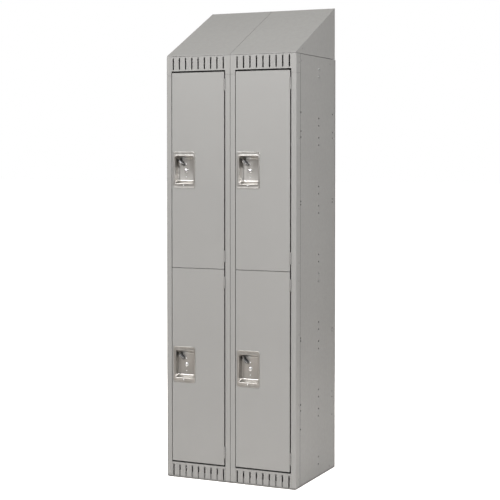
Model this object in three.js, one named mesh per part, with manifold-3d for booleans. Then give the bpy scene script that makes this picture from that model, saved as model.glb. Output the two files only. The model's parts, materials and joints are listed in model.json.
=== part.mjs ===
// Bank of two sheet-steel lockers, each with two doors one above the other, under a sloping hood.
// Millimetres, +Z up. The origin is on the floor, under the middle of the cabinet's box.
// The doors face -Y and hang on their right-hand edges; positive hinge turns open them.
import * as THREE from "three";
import { mergeVertices } from "three/addons/utils/BufferGeometryUtils.js";
import Module from "manifold-3d";

const wasm = await Module();
wasm.setup();

// ---- Driving dimensions ----

const BAY_WIDTH = 304.8; // one locker
const BODY_DEPTH = 457.2; // front of the frames to the back of the back panels
const BODY_HEIGHT = 1828.8; // floor to the flat tops under the hood
const HOOD_RISE = 228.6; // the hood's slope rises one in two

const FRAME_GAUGE = 1.5; // uprights, headers, kick plates and rails
const BODY_GAUGE = 0.8; // panels and shelves
const HOOD_GAUGE = 1.0;
const DOOR_GAUGE = 1.2;
const FIT = 0.3; // gap between two pieces that touch
const BUTT_GAP = 0.8; // between the header's ends and the uprights
const HOOD_SEAM = 1.2; // between the two halves of the hood
const HOOD_GAP = 1.2; // under the hood's foot

const SEAM_HALF = 0.7; // from a bay's edge to its frame: the partition passes in the seam
const FACE_WIDTH = 23.5; // bay edge to the door opening
const SIDE_FLANGE = 44; // upright's outer flange, front to back
const STOP_WIDTH = 10; // flange that the shut door rests against
const HEADER_HEIGHT = 62.6;
const HEADER_LEG = 18; // how far the header's ends reach down over the uprights' line
const KICK_HEIGHT = 66.3;
const UPRIGHT_FOOT = 2; // the uprights stop just above the floor
const HEM = { front: 1, back: 4, height: 29 }; // the kick plate's folded foot
const RAIL = { half: 16.5, leg: 14 }; // the channel behind the split
const SHELF_TURN_DOWN = 12;
const BOTTOM_TURN_DOWN = 20;
const END_PANEL_TURN_IN = 12;
const PARTITION_FRONT = 6; // how far the partition stands back in its seam
const PANEL_DROP = 0.4; // from the flat top down to the upright panels

const DOOR_DEPTH = 20;
const DOOR_LIP = 10;
const LATCH_GAP = 2.6; // left of a door
const HINGE_GAP = 6.2; // right of a door, where the knuckles are
const TOP_GAP = 7.4;
const SPLIT_GAP = 2.5; // between the upper and the lower door
const BOTTOM_GAP = 6.4;

const VENT = { count: 9, pitch: 30, width: 6.5, height: 52 };

const CUP = { width: 105, height: 156, edge: 59, rise: 2, corner: 9, gauge: 1, depth: 24 };
const MOUTH = { width: 90, height: 119.5, x: 0.5, z: 1, corner: 8 }; // centred off the cup's centre
const POCKET = { width: 80, height: 98, x: 0.5, z: 0, corner: 6 }; // the cup's flat back
const LOCK_LINE = -1; // x of the plug and of the rivets above and below it, off the cup's centre
const PLUG = { radius: 9, height: 3.4, brim: 0.6, z: -3 };
const RIVET_SPACING = 27.5; // each rivet to the plug

const LUG = { x: -20.5, z: 33, length: 27, gauge: 3, reach: 19, corner: 6, eye: 4.5, rim: 3 };
const EAR = { gauge: 2.2, clear: 0.5, reach: 18 }; // the cup's fixed plate beside the lug
const SLOT_DEPTH = 10; // how far the lug's slot runs up the cup's wall
const LATCH_GAUGE = 2;
const LATCH_DROP = 3; // from rest down to latched
const LATCH_LIFT = 2.5; // from rest up to the stop
const TONGUE = { reach: 57, low: -2, high: 12, clear: 0.8 };
const LATCH_STRIP = { half: 9, neck: 5, past: 14 }; // past: beyond each rivet
const GUIDE_WIDTH = 5;

const HINGE = { height: 50.8, inset: 55, radius: 2.5, leaf: 1.5, width: 16, proud: 0.5 };
const PIN = { radius: 1.2, bore: 1.6 };
const KNUCKLES = 5;

const HOLE_RADIUS = 4.2;
const HOLE_SIDES = 6;
const ROUND_SIDES = 12;
const SHELF_HOLE = { pitch: 295, first: 72, second: 283, spacing: 32, y: 260, rows: 6 };
const EDGE_HOLES = { front: 55, rear: 425, offsets: [281.5, 294.5, 565, 590, 669.5] };

// ---- Worked-out places, in a bay's own frame: x from its left edge, y back from its front ----

const PROUD = HINGE.radius + HINGE.proud; // the knuckles are the foremost point
const FRONT_Y = -(BODY_DEPTH - PROUD) / 2; // so that the origin is under the middle of the box
const OPENING_LEFT = FACE_WIDTH;
const OPENING_RIGHT = BAY_WIDTH - FACE_WIDTH;
const OPENING_TOP = BODY_HEIGHT - HEADER_HEIGHT;
const DOOR_LEFT = OPENING_LEFT + LATCH_GAP;
const DOOR_RIGHT = OPENING_RIGHT - HINGE_GAP;
const DOOR_WIDTH = DOOR_RIGHT - DOOR_LEFT;
const DOOR_HEIGHT = (OPENING_TOP - KICK_HEIGHT - TOP_GAP - SPLIT_GAP - BOTTOM_GAP) / 2;
const CUP_Z = DOOR_HEIGHT / 2 + CUP.rise; // from the door's bottom edge
const DOOR_BOTTOMS = {
  lower: KICK_HEIGHT + BOTTOM_GAP,
  upper: KICK_HEIGHT + BOTTOM_GAP + DOOR_HEIGHT + SPLIT_GAP,
};
const SPLIT_Z = DOOR_BOTTOMS.upper - SPLIT_GAP / 2;
const CUP_X = DOOR_LEFT + CUP.edge;
const PIN_X = OPENING_RIGHT - HINGE_GAP / 2;
const STOP_FRONT = DOOR_DEPTH + 0.5;
const STOP_BACK = STOP_FRONT + FRAME_GAUGE;
const UPRIGHT_TOP = OPENING_TOP - HEADER_LEG - BUTT_GAP;
const PANEL_TOP = BODY_HEIGHT - PANEL_DROP;
const PANEL_LEFT = SEAM_HALF + FRAME_GAUGE + FIT; // outer face of an end panel
const SHELF_LEFT = PANEL_LEFT + BODY_GAUGE + FIT;
const SHELF_RIGHT = BAY_WIDTH - SHELF_LEFT;
const BACK_FRONT = BODY_DEPTH - BODY_GAUGE; // front face of the back panels
const SHELF_BACK = BACK_FRONT - FIT - BODY_GAUGE - FIT;

// ---- Materials ----

const enamel = (name) =>
  new THREE.MeshStandardMaterial({ name, color: 0xa3a29d, roughness: 0.45, metalness: 0.1 });
const bodyEnamel = enamel("body_enamel");
const doorEnamel = enamel("door_enamel");
const hingeEnamel = enamel("hinge_enamel");
const stainless = new THREE.MeshStandardMaterial({ color: 0xb4aea6, roughness: 0.3, metalness: 1 });
const zincPlate = new THREE.MeshStandardMaterial({ color: 0x9fa3a6, roughness: 0.4, metalness: 1 });
const chrome = new THREE.MeshStandardMaterial({ color: 0xd9dadb, roughness: 0.08, metalness: 1 });

// ---- Solids ----

// A closed geometry as a manifold-3d solid.
function solid(geometry) {
  const bare = geometry.clone();
  bare.deleteAttribute("normal");
  bare.deleteAttribute("uv");
  const merged = mergeVertices(bare, 1e-4);
  return new wasm.Manifold(
    new wasm.Mesh({
      numProp: 3,
      vertProperties: new Float32Array(merged.attributes.position.array),
      triVerts: new Uint32Array(merged.index.array),
    }),
  );
}

// A manifold-3d solid as a named mesh.
function part(name, shape, material) {
  const mesh = shape.getMesh();
  const geometry = new THREE.BufferGeometry();
  geometry.setAttribute("position", new THREE.BufferAttribute(mesh.vertProperties, 3));
  geometry.setIndex(new THREE.BufferAttribute(mesh.triVerts, 1));
  geometry.computeVertexNormals();
  const made = new THREE.Mesh(geometry, material);
  made.name = name;
  return made;
}

const joined = (solids) => solids.reduce((all, next) => all.add(next));
const cutBy = (body, tools) => (tools.length ? body.subtract(joined(tools)) : body);

function box([x0, x1], [y0, y1], [z0, z1]) {
  const geometry = new THREE.BoxGeometry(x1 - x0, y1 - y0, z1 - z0);
  return solid(geometry.translate((x0 + x1) / 2, (y0 + y1) / 2, (z0 + z1) / 2));
}

// Where an extrusion's own x, y and z point, for each direction that it can run along.
const TURN = {
  x: new THREE.Matrix4().makeBasis(axis(0, 1, 0), axis(0, 0, 1), axis(1, 0, 0)),
  y: new THREE.Matrix4().makeBasis(axis(-1, 0, 0), axis(0, 0, 1), axis(0, 1, 0)),
  z: new THREE.Matrix4(),
};

function axis(x, y, z) {
  return new THREE.Vector3(x, y, z);
}

// A flat outline run from `from` to `to` along an axis. Points are (y, z), (x, z) or (x, y) pairs.
function extruded(along, points, from, to) {
  const flip = along === "y" ? -1 : 1;
  const shape = new THREE.Shape(points.map(([a, b]) => new THREE.Vector2(a * flip, b)));
  const geometry = new THREE.ExtrudeGeometry(shape, { depth: to - from, bevelEnabled: false });
  geometry.translate(0, 0, from);
  return solid(geometry.applyMatrix4(TURN[along]));
}

// The same, with holes of the given outlines right through it.
function pierced(along, points, from, to, holes) {
  const tools = holes.map((hole) => extruded(along, hole, from - 1, to + 1));
  return extruded(along, points, from, to).subtract(joined(tools));
}

// The outline of a folded sheet: its outer line, and the same line one gauge to the left of it.
function sheet(line, gauge) {
  const inner = line.map(([x, y], i) => {
    const here = new THREE.Vector2(x, y);
    const before = i > 0 ? here.clone().sub(new THREE.Vector2(...line[i - 1])).normalize() : null;
    const after =
      i < line.length - 1 ? new THREE.Vector2(...line[i + 1]).sub(here).normalize() : null;
    const first = before ?? after;
    const last = after ?? before;
    const bisector = new THREE.Vector2(-first.y - last.y, first.x + last.x).normalize();
    const reach = gauge / (bisector.x * -last.y + bisector.y * last.x);
    return here.addScaledVector(bisector, reach).toArray();
  });
  return [...line, ...inner.reverse()];
}

const mirrored = (line) => line.map(([x, y]) => [BAY_WIDTH - x, y]).reverse();

// A rectangle with round corners, as points going round its middle.
function roundedRectangle(width, height, corner, x, z, steps) {
  const points = [];
  for (let quarter = 0; quarter < 4; quarter++) {
    const signX = quarter === 0 || quarter === 3 ? 1 : -1;
    const signZ = quarter < 2 ? 1 : -1;
    for (let step = 0; step <= steps; step++) {
      const turn = ((quarter + step / steps) * Math.PI) / 2;
      points.push([
        x + signX * (width / 2 - corner) + corner * Math.cos(turn),
        z + signZ * (height / 2 - corner) + corner * Math.sin(turn),
      ]);
    }
  }
  return points;
}

const circle = (radius, x, z, sides) =>
  Array.from({ length: sides }, (_, i) => {
    const turn = ((i + 0.5) * 2 * Math.PI) / sides;
    return [x + radius * Math.cos(turn), z + radius * Math.sin(turn)];
  });

// ---- Frame of one bay ----

// An upright is one folded strip: outer flange, face, jamb beside the door, and the door's stop.
function upright(name, latchSide) {
  const line = [
    [SEAM_HALF, SIDE_FLANGE],
    [SEAM_HALF, 0],
    [OPENING_LEFT, 0],
    [OPENING_LEFT, STOP_FRONT],
    [OPENING_LEFT + STOP_WIDTH, STOP_FRONT],
  ];
  const outline = sheet(line, FRAME_GAUGE);
  const strip = extruded("z", latchSide ? outline : mirrored(outline), UPRIGHT_FOOT, UPRIGHT_TOP);
  // A lifted latch tongue passes through a notch in the stop; a dropped one is caught behind it.
  const notches = Object.values(DOOR_BOTTOMS).map((bottom) => {
    const z = bottom + CUP_Z;
    return box(
      [OPENING_LEFT + 1, OPENING_LEFT + STOP_WIDTH + 1],
      [STOP_FRONT - 1, STOP_BACK + 1],
      [z + TONGUE.low - TONGUE.clear, z + TONGUE.high + LATCH_LIFT + TONGUE.clear],
    );
  });
  return part(name, cutBy(strip, latchSide ? notches : []), bodyEnamel);
}

// Upright vent slots side by side, centred on the bay.
function ventSlots(middleZ) {
  return Array.from({ length: VENT.count }, (_, i) => {
    const x = BAY_WIDTH / 2 + (i - (VENT.count - 1) / 2) * VENT.pitch;
    return roundedRectangle(VENT.width, VENT.height, VENT.width / 2 - 0.1, x, middleZ, 2);
  });
}

function header(name) {
  const left = SEAM_HALF;
  const right = BAY_WIDTH - SEAM_HALF;
  const legEnd = OPENING_TOP - HEADER_LEG;
  const face = [
    [left, BODY_HEIGHT],
    [left, legEnd],
    [OPENING_LEFT, legEnd],
    [OPENING_LEFT, OPENING_TOP],
    [OPENING_RIGHT, OPENING_TOP],
    [OPENING_RIGHT, legEnd],
    [right, legEnd],
    [right, BODY_HEIGHT],
  ];
  const vents = ventSlots((BODY_HEIGHT + OPENING_TOP) / 2);
  const stop = [
    [0, OPENING_TOP],
    [STOP_FRONT, OPENING_TOP],
    [STOP_FRONT, OPENING_TOP - STOP_WIDTH],
    [STOP_BACK, OPENING_TOP - STOP_WIDTH],
    [STOP_BACK, OPENING_TOP + FRAME_GAUGE],
    [0, OPENING_TOP + FRAME_GAUGE],
  ];
  const pieces = [
    pierced("y", face, 0, FRAME_GAUGE, vents),
    extruded("x", stop, OPENING_LEFT, OPENING_RIGHT),
    box([left, right], [0, DOOR_DEPTH], [BODY_HEIGHT - FRAME_GAUGE, BODY_HEIGHT]),
    box([left, left + FRAME_GAUGE], [0, SIDE_FLANGE], [legEnd, BODY_HEIGHT]),
    box([right - FRAME_GAUGE, right], [0, SIDE_FLANGE], [legEnd, BODY_HEIGHT]),
  ];
  return part(name, joined(pieces), bodyEnamel);
}

// The kick plate stands between the uprights. Its foot is hemmed up behind the inner vents.
function kickPlate(name) {
  const left = OPENING_LEFT + FIT;
  const right = OPENING_RIGHT - FIT;
  const behindStop = [OPENING_LEFT + STOP_WIDTH + 0.5, OPENING_RIGHT - STOP_WIDTH - 0.5];
  const hem = sheet([[HEM.front, 0], [HEM.back, 0], [HEM.back, HEM.height]], FRAME_GAUGE);
  const hemWidth = (VENT.count - 1.8) * VENT.pitch;
  const topBand = [KICK_HEIGHT - FRAME_GAUGE, KICK_HEIGHT];
  const face = [[left, 0], [right, 0], [right, KICK_HEIGHT], [left, KICK_HEIGHT]];
  const pieces = [
    pierced("y", face, 0, FRAME_GAUGE, ventSlots(KICK_HEIGHT / 2 - 1)),
    extruded("x", hem, (BAY_WIDTH - hemWidth) / 2, (BAY_WIDTH + hemWidth) / 2),
    box([left, right], [0, DOOR_DEPTH], topBand),
    box(behindStop, [0, STOP_BACK], topBand),
    box(behindStop, [STOP_FRONT, STOP_BACK], [topBand[0], KICK_HEIGHT + STOP_WIDTH]),
    box([left, left + FRAME_GAUGE], [0, DOOR_DEPTH], [0, KICK_HEIGHT]),
    box([right - FRAME_GAUGE, right], [0, DOOR_DEPTH], [0, KICK_HEIGHT]),
  ];
  return part(name, joined(pieces), bodyEnamel);
}

// The rail behind the split between the doors: a channel lapped behind the uprights' stops.
function midRail(name) {
  const front = STOP_BACK + FIT;
  const line = [
    [front + RAIL.leg, SPLIT_Z + RAIL.half],
    [front, SPLIT_Z + RAIL.half],
    [front, SPLIT_Z - RAIL.half],
    [front + RAIL.leg, SPLIT_Z - RAIL.half],
  ];
  return part(
    name,
    extruded("x", sheet(line, FRAME_GAUGE), OPENING_LEFT + FIT, OPENING_RIGHT - FIT),
    bodyEnamel,
  );
}

// A shelf is a sheet with its front and back edges turned down.
function shelf(name, top, front, turnDown) {
  const line = [
    [front, top - turnDown],
    [front, top],
    [SHELF_BACK, top],
    [SHELF_BACK, top - turnDown],
  ].reverse();
  return part(name, extruded("x", sheet(line, BODY_GAUGE), SHELF_LEFT, SHELF_RIGHT), bodyEnamel);
}

function backPanel(name) {
  const edge = SEAM_HALF + FIT;
  return part(
    name,
    box([edge, BAY_WIDTH - edge], [BACK_FRONT, BODY_DEPTH], [0, PANEL_TOP]),
    bodyEnamel,
  );
}

// ---- End panels, partition and hood ----

// Rows of assembly holes: pairs along the middle line, single ones near the front and the rear.
function endPanelHoles() {
  const holes = [];
  for (let row = 0; row < SHELF_HOLE.rows; row++) {
    for (const start of [SHELF_HOLE.first, SHELF_HOLE.second]) {
      for (const side of [-0.5, 0.5]) {
        const z = start + row * SHELF_HOLE.pitch + side * SHELF_HOLE.spacing;
        holes.push(circle(HOLE_RADIUS, SHELF_HOLE.y, z, HOLE_SIDES));
      }
    }
  }
  for (const y of [EDGE_HOLES.front, EDGE_HOLES.rear]) {
    for (const offset of EDGE_HOLES.offsets) {
      holes.push(circle(HOLE_RADIUS, y, BODY_HEIGHT / 2 + offset, HOLE_SIDES));
      holes.push(circle(HOLE_RADIUS, y, BODY_HEIGHT / 2 - offset, HOLE_SIDES));
    }
  }
  return holes;
}

// An end panel laps inside the frame's outer flange, and its rear edge is turned in.
function endPanel(name, leftEnd) {
  const front = STOP_BACK + 1;
  const back = BACK_FRONT - FIT;
  const outline = [[front, 0], [back, 0], [back, PANEL_TOP], [front, PANEL_TOP]];
  const from = leftEnd ? PANEL_LEFT : BAY_WIDTH - PANEL_LEFT - BODY_GAUGE;
  const to = from + BODY_GAUGE;
  const flange = leftEnd ? [from, from + END_PANEL_TURN_IN] : [to - END_PANEL_TURN_IN, to];
  const pieces = [
    pierced("x", outline, from, to, endPanelHoles()),
    box(flange, [back - BODY_GAUGE, back], [0, PANEL_TOP]),
  ];
  return part(name, joined(pieces), bodyEnamel);
}

function partition(name) {
  const half = BODY_GAUGE / 2;
  const depth = [PARTITION_FRONT, BACK_FRONT - FIT];
  return part(name, box([-half, half], depth, [0, PANEL_TOP]), bodyEnamel);
}

const HOOD_FOOT = BODY_HEIGHT + HOOD_GAP;
const HOOD_TOP = BODY_HEIGHT + HOOD_RISE;
const HOOD_BACK = BODY_DEPTH - 6;
const HOOD_LIP = 3; // upright edge along the hood's front
const HOOD_TURN = 15; // the foot's turned-in flanges
const HOOD_END = 1.8; // the hood's ends stand in from the frames' sides

// The hood's outside, seen from the side: foot flanges, front lip, slope and upright back.
const HOOD_LINE = [
  [HOOD_BACK - HOOD_TURN, HOOD_FOOT],
  [HOOD_BACK, HOOD_FOOT],
  [HOOD_BACK, HOOD_TOP],
  [0, HOOD_FOOT + HOOD_LIP],
  [0, HOOD_FOOT],
  [HOOD_TURN, HOOD_FOOT],
];

function slopePanel(name, from, to) {
  return part(name, extruded("x", sheet(HOOD_LINE, HOOD_GAUGE), from, to), bodyEnamel);
}

// A gusset fills the hood's section just inside its sheet, and stands on the tops between its feet.
function gusset(name, from, to) {
  const inside = HOOD_GAUGE + FIT;
  const slope = (HOOD_TOP - HOOD_FOOT - HOOD_LIP) / HOOD_BACK;
  const drop = inside * Math.hypot(1, slope);
  const slopeAt = (y) => HOOD_FOOT + HOOD_LIP + slope * y - drop;
  const outline = [
    [inside, HOOD_FOOT + inside],
    [HOOD_TURN + FIT, HOOD_FOOT + inside],
    [HOOD_TURN + FIT, HOOD_FOOT],
    [HOOD_BACK - HOOD_TURN - FIT, HOOD_FOOT],
    [HOOD_BACK - HOOD_TURN - FIT, HOOD_FOOT + inside],
    [HOOD_BACK - inside, HOOD_FOOT + inside],
    [HOOD_BACK - inside, slopeAt(HOOD_BACK - inside)],
    [inside, slopeAt(inside)],
  ];
  return part(name, extruded("x", outline, from, to), bodyEnamel);
}

// ---- Door, cup, latch and hinges, each with z from the door's bottom edge ----

function door(name) {
  const skin = [DOOR_LEFT, DOOR_RIGHT];
  const height = [0, DOOR_HEIGHT];
  const shrink = ([low, high], by) => [low + by, high - by];
  const inset = DOOR_GAUGE;
  const pan = box(skin, [0, DOOR_DEPTH], height);
  const inside = box(shrink(skin, inset), [inset, DOOR_DEPTH - inset], shrink(height, inset));
  const mouth = box(shrink(skin, DOOR_LIP), [inset, DOOR_DEPTH + 1], shrink(height, DOOR_LIP));
  const cutOut = roundedRectangle(
    MOUTH.width + 2 * CUP.gauge + 2,
    MOUTH.height + 2 * CUP.gauge + 2,
    MOUTH.corner + CUP.gauge,
    CUP_X + MOUTH.x,
    CUP_Z + MOUTH.z,
    2,
  );
  return part(name, cutBy(pan, [inside, mouth, extruded("y", cutOut, -1, inset + 1)]), doorEnamel);
}

// The solid between two round-cornered rectangles at different depths.
function tapered(front, back, frontY, backY, grow) {
  const steps = 3;
  const ring = (r, y) =>
    roundedRectangle(
      r.width + 2 * grow,
      r.height + 2 * grow,
      r.corner + grow,
      CUP_X + r.x,
      CUP_Z + r.z,
      steps,
    ).map(([x, z]) => [x, y, z]);
  const near = ring(front, frontY);
  const far = ring(back, backY);
  const n = near.length;
  const faces = [];
  for (let i = 0; i < n; i++) {
    const next = (i + 1) % n;
    faces.push(i, n + i, next, next, n + i, n + next);
  }
  for (let i = 1; i < n - 1; i++) {
    faces.push(0, i, i + 1);
    faces.push(n, n + i + 1, n + i);
  }
  const geometry = new THREE.BufferGeometry();
  const positions = new Float32Array([...near, ...far].flat());
  geometry.setAttribute("position", new THREE.BufferAttribute(positions, 3));
  geometry.setIndex(faces);
  return solid(geometry);
}

// A plate standing out of the cup's back on the falling diagonal. `offset` is its lower face's
// distance up and to the right of the lug's own, and `slide` moves its eye along the diagonal.
function diagonalPlate(gauge, offset, slide, [front, back]) {
  const half = LUG.length / 2;
  const outline = [
    [-half, back],
    [-half, front + LUG.corner],
    [-half + LUG.corner, front],
    [half - LUG.corner, front],
    [half, front + LUG.corner],
    [half, back],
  ];
  const eye = circle(LUG.eye, slide, front + LUG.rim + LUG.eye, ROUND_SIDES);
  const shape = new THREE.Shape(outline.map(([a, y]) => new THREE.Vector2(a, y)));
  shape.holes.push(new THREE.Path(eye.map(([a, y]) => new THREE.Vector2(a, y))));
  const geometry = new THREE.ExtrudeGeometry(shape, { depth: gauge, bevelEnabled: false });
  const diagonal = Math.SQRT1_2;
  // The plate's own x runs down the diagonal, its y runs back, and its z points up to the right.
  const turn = new THREE.Matrix4().makeBasis(
    axis(diagonal, 0, -diagonal),
    axis(0, 1, 0),
    axis(diagonal, 0, diagonal),
  );
  geometry.translate(0, 0, offset).applyMatrix4(turn);
  return solid(geometry.translate(CUP_X + LUG.x, 0, CUP_Z + LUG.z));
}

// The band of the cup's back that the lug sweeps as the latch drops and lifts.
function lugSlot(clear) {
  const left = -(LUG.length / 2 + clear) * Math.SQRT1_2;
  const right = (LUG.length / 2 + LUG.gauge + clear) * Math.SQRT1_2;
  const low = -clear * Math.SQRT2 - LATCH_DROP;
  const high = (LUG.gauge + clear) * Math.SQRT2 + LATCH_LIFT;
  return [
    [left, low - left],
    [right, low - right],
    [right, high - right],
    [left, high - left],
  ].map(([x, z]) => [CUP_X + LUG.x + x, CUP_Z + LUG.z + z]);
}

function cup(name) {
  const face = -FIT - CUP.gauge;
  const flange = roundedRectangle(CUP.width, CUP.height, CUP.corner, CUP_X, CUP_Z, 4);
  const shell = tapered(MOUTH, POCKET, face, CUP.depth, CUP.gauge);
  const inside = CUP.depth - CUP.gauge;
  const hollow = tapered(MOUTH, POCKET, face - 0.01, inside, 0);
  const latched = LATCH_DROP * Math.SQRT1_2;
  const ear = diagonalPlate(
    EAR.gauge,
    -latched - EAR.clear - EAR.gauge,
    latched,
    [inside - EAR.reach, CUP.depth - CUP.gauge / 4],
  );
  const slot = extruded("y", lugSlot(EAR.clear), CUP.depth - SLOT_DEPTH, CUP.depth + 1);
  const lockRing = circle(PLUG.radius - 2, CUP_X + LOCK_LINE, CUP_Z + PLUG.z, ROUND_SIDES);
  const plugHole = extruded("y", lockRing, inside - 1, CUP.depth + 1);
  const drawn = cutBy(extruded("y", flange, face, -FIT).add(shell), [hollow, slot, plugHole]);
  return part(name, drawn.add(ear), stainless);
}

// The latch: a plate that slides up and down behind the cup on its two rivets, with the lug
// bent forward through the cup and a tongue that reaches behind the upright's stop. The plate
// lies on the lug's lower left, so that the slot is open above the lug.
function latch(name) {
  const front = CUP.depth + FIT;
  const back = front + LATCH_GAUGE;
  const half = (LUG.length / 2) * Math.SQRT1_2;
  const bend = (LUG.gauge / 2) * Math.SQRT1_2;
  const stripLeft = LOCK_LINE - LATCH_STRIP.half;
  const stripRight = LOCK_LINE + LATCH_STRIP.half;
  const neck = LOCK_LINE - LATCH_STRIP.neck;
  const outline = [
    [stripRight, PLUG.z - RIVET_SPACING - LATCH_STRIP.past],
    [stripRight, PLUG.z + RIVET_SPACING + LATCH_STRIP.past],
    [neck, PLUG.z + RIVET_SPACING + LATCH_STRIP.past],
    [neck, LUG.z - half + bend],
    [LUG.x + half + bend, LUG.z - half + bend],
    [LUG.x - half + bend, LUG.z + half + bend],
    [LUG.x - half, LUG.z + half],
    [LUG.x - half, TONGUE.high],
    [-TONGUE.reach, TONGUE.high],
    [-TONGUE.reach, TONGUE.low],
    [stripLeft, TONGUE.low],
    [stripLeft, PLUG.z - RIVET_SPACING - LATCH_STRIP.past],
  ];
  const guides = [1, -1].map((side) =>
    roundedRectangle(
      GUIDE_WIDTH,
      GUIDE_WIDTH + LATCH_DROP + LATCH_LIFT,
      GUIDE_WIDTH / 2 - 0.1,
      LOCK_LINE,
      PLUG.z + side * RIVET_SPACING + (LATCH_DROP - LATCH_LIFT) / 2,
      2,
    ),
  );
  const place = (list) => list.map(([x, z]) => [CUP_X + x, CUP_Z + z]);
  const plate = pierced("y", place(outline), front, back, guides.map(place));
  const lug = diagonalPlate(LUG.gauge, 0, 0, [CUP.depth - CUP.gauge - LUG.reach, back]);
  return part(name, plate.add(lug), zincPlate);
}

// The round cap that fills the cup's lock hole.
function plug(name) {
  const front = CUP.depth - CUP.gauge - FIT;
  const dome = PLUG.height - PLUG.brim;
  const profile = [[0, 0], [PLUG.radius, 0], [PLUG.radius, PLUG.brim]];
  for (const degrees of [25, 50, 72]) {
    const angle = THREE.MathUtils.degToRad(degrees);
    profile.push([PLUG.radius * Math.cos(angle), PLUG.brim + dome * Math.sin(angle)]);
  }
  profile.push([0, PLUG.height]);
  const points = profile.map(([r, h]) => new THREE.Vector2(r, h));
  const cap = new THREE.LatheGeometry(points, 16).rotateX(Math.PI);
  const x = CUP_X + LOCK_LINE;
  const z = CUP_Z + PLUG.z;
  const stemRadius = PLUG.radius - 2 - FIT;
  const stem = extruded("y", circle(stemRadius, x, z, ROUND_SIDES), front - 0.2, CUP.depth);
  return part(name, solid(cap.translate(x, front, z)).add(stem), chrome);
}

// A hinge's knuckles stand one above another, taken in turn by the frame's and the door's leaf.
function knuckleSpan(index) {
  const pitch = HINGE.height / KNUCKLES;
  return [index * pitch + FIT / 2, (index + 1) * pitch - FIT / 2];
}

function barrel(radius, [low, high]) {
  return extruded("z", circle(radius, PIN_X, -HINGE.proud, ROUND_SIDES), low, high);
}

function hingeLeaf(name, ofFrame) {
  const wall = ofFrame
    ? [OPENING_RIGHT - FIT - HINGE.leaf, OPENING_RIGHT - FIT]
    : [DOOR_RIGHT + FIT, DOOR_RIGHT + FIT + HINGE.leaf];
  const clear = HINGE.radius - HINGE.proud + 0.4;
  const own = Array.from({ length: KNUCKLES }, (_, i) => i).filter((i) => i % 2 === (ofFrame ? 0 : 1));
  const pieces = [box(wall, [clear, HINGE.width], [FIT / 2, HINGE.height - FIT / 2])];
  own.forEach((index) => {
    const span = knuckleSpan(index);
    pieces.push(box(wall, [-HINGE.proud, clear + 0.5], span));
    pieces.push(barrel(HINGE.radius, span));
  });
  const leaf = joined(pieces);
  const pinSpan = [FIT / 2 + 1, HINGE.height - FIT / 2 - 1];
  const made = ofFrame
    ? leaf.add(barrel(PIN.radius, pinSpan))
    : leaf.subtract(barrel(PIN.bore, [-1, HINGE.height + 1]));
  return part(name, made, hingeEnamel);
}

// ---- Assembly ----

const cabinet = new THREE.Group();
cabinet.position.y = FRONT_Y;

const underHeader = BODY_HEIGHT - FRAME_GAUGE - FIT;
const behindRail = STOP_BACK + FIT + FRAME_GAUGE + FIT;
const underKick = KICK_HEIGHT - FRAME_GAUGE - FIT;

["left", "right"].forEach((side, index) => {
  const bay = new THREE.Group();
  bay.position.x = (index - 1) * BAY_WIDTH;
  const leftBay = index === 0;
  bay.add(
    upright(`upright_${side}_latch_side`, true),
    upright(`upright_${side}_hinge_side`, false),
    header(`header_${side}`),
    kickPlate(`kick_plate_${side}`),
    midRail(`mid_rail_${side}`),
    shelf(`top_panel_${side}`, underHeader, SIDE_FLANGE / 2, SHELF_TURN_DOWN),
    shelf(`mid_shelf_${side}`, SPLIT_Z, behindRail, SHELF_TURN_DOWN),
    shelf(`bottom_panel_${side}`, underKick, STOP_BACK + FIT, BOTTOM_TURN_DOWN),
    backPanel(`back_panel_${side}`),
    endPanel(`end_panel_${side}`, leftBay),
    slopePanel(
      `slope_panel_${side}`,
      leftBay ? HOOD_END : HOOD_SEAM / 2,
      leftBay ? BAY_WIDTH - HOOD_SEAM / 2 : BAY_WIDTH - HOOD_END,
    ),
    gusset(
      `slope_end_${side}`,
      leftBay ? HOOD_END : BAY_WIDTH - HOOD_END - HOOD_GAUGE,
      leftBay ? HOOD_END + HOOD_GAUGE : BAY_WIDTH - HOOD_END,
    ),
  );
  for (const [level, bottom] of Object.entries(DOOR_BOTTOMS)) {
    const key = `${level}_${side}`;
    const leaf = new THREE.Group();
    leaf.position.z = bottom;
    leaf.add(door(`door_${key}`), cup(`cup_${key}`), latch(`latch_${key}`), plug(`plug_${key}`));
    const hingeFeet = {
      top: DOOR_HEIGHT - HINGE.inset - HINGE.height / 2,
      bottom: HINGE.inset - HINGE.height / 2,
    };
    for (const [end, foot] of Object.entries(hingeFeet)) {
      const hinge = new THREE.Group();
      hinge.position.z = foot;
      hinge.add(
        hingeLeaf(`hinge_frame_leaf_${key}_${end}`, true),
        hingeLeaf(`hinge_door_leaf_${key}_${end}`, false),
      );
      leaf.add(hinge);
    }
    bay.add(leaf);
  }
  cabinet.add(bay);
});
cabinet.add(partition("partition_panel"), gusset("slope_joint_gusset", -HOOD_GAUGE / 2, HOOD_GAUGE / 2));

export default cabinet;
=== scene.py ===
"""Looks for the locker cabinet: materials, soft edges, drawn cups, hinges, fasteners and fittings.

The axes are the frame's own: +Z up, and the doors facing -Y. Sizes are written in millimetres,
and mm() turns them to metres where a mesh is made.
"""

import json
import math

import bmesh
import bpy
from mathutils import Matrix, Vector


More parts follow.
